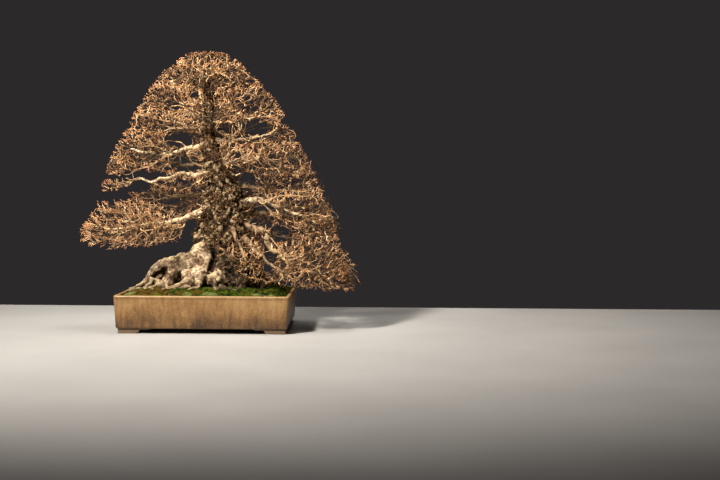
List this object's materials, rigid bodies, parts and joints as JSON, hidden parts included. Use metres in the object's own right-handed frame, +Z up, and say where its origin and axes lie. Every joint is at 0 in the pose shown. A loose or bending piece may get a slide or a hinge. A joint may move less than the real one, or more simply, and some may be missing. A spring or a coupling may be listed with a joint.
{
  "type": "korean hornbeam bonsai",
  "caption": "Leafless Korean hornbeam bonsai with a broad rooted trunk and layered winter twig sprays, standing in mossy soil in a rectangular footed pot.",
  "frame": {"origin": "under the middle of the whole object, on the plane that the pot's feet stand on", "axes": "+Z up along the trunk, -Y towards the viewer of the tree's front, +X to the viewer's right"},
  "size_m": [0.7152, 0.3602, 0.6947],
  "materials": {
    "stoneware_glaze": "satin",
    "screen_plastic": "matte",
    "soil": "matte",
    "moss_green": "matte",
    "moss_olive": "matte",
    "bark": "matte",
    "twig": "matte"
  },
  "bodies": {
    "root": {"pot": "stoneware_glaze", "drain_screen_left": "screen_plastic", "drain_screen_right": "screen_plastic", "trunk": "bark", "soil": "soil", "moss_front_left": "moss_olive", "moss_front_middle": "moss_green", "moss_front_right": "moss_green", "moss_right_corner": "moss_green", "moss_right_back": "moss_green", "moss_back_middle": "moss_green", "moss_back_left": "moss_green", "moss_left": "moss_olive", "moss_under_root": "moss_green", "spray_left_low": "twig", "spray_left_low_back": "twig", "spray_left_bare": "twig", "spray_left_middle": "twig", "spray_left_middle_back": "twig", "spray_left_upper": "twig", "spray_left_high": "twig", "spray_right_low": "twig", "spray_right_low_front": "twig", "spray_right_low_back": "twig", "spray_right_lower_middle": "twig", "spray_right_middle": "twig", "spray_right_middle_back": "twig", "spray_right_upper": "twig", "spray_right_high": "twig", "spray_right_top": "twig", "spray_front_hanging": "twig", "spray_front_middle": "twig", "spray_front_high": "twig", "spray_front_top": "twig", "spray_back_low": "twig", "spray_back_middle": "twig", "spray_back_high": "twig", "spray_back_top": "twig", "spray_top_left": "twig", "spray_top_right": "twig", "spray_apex": "twig"}
  },
  "joints": []
}
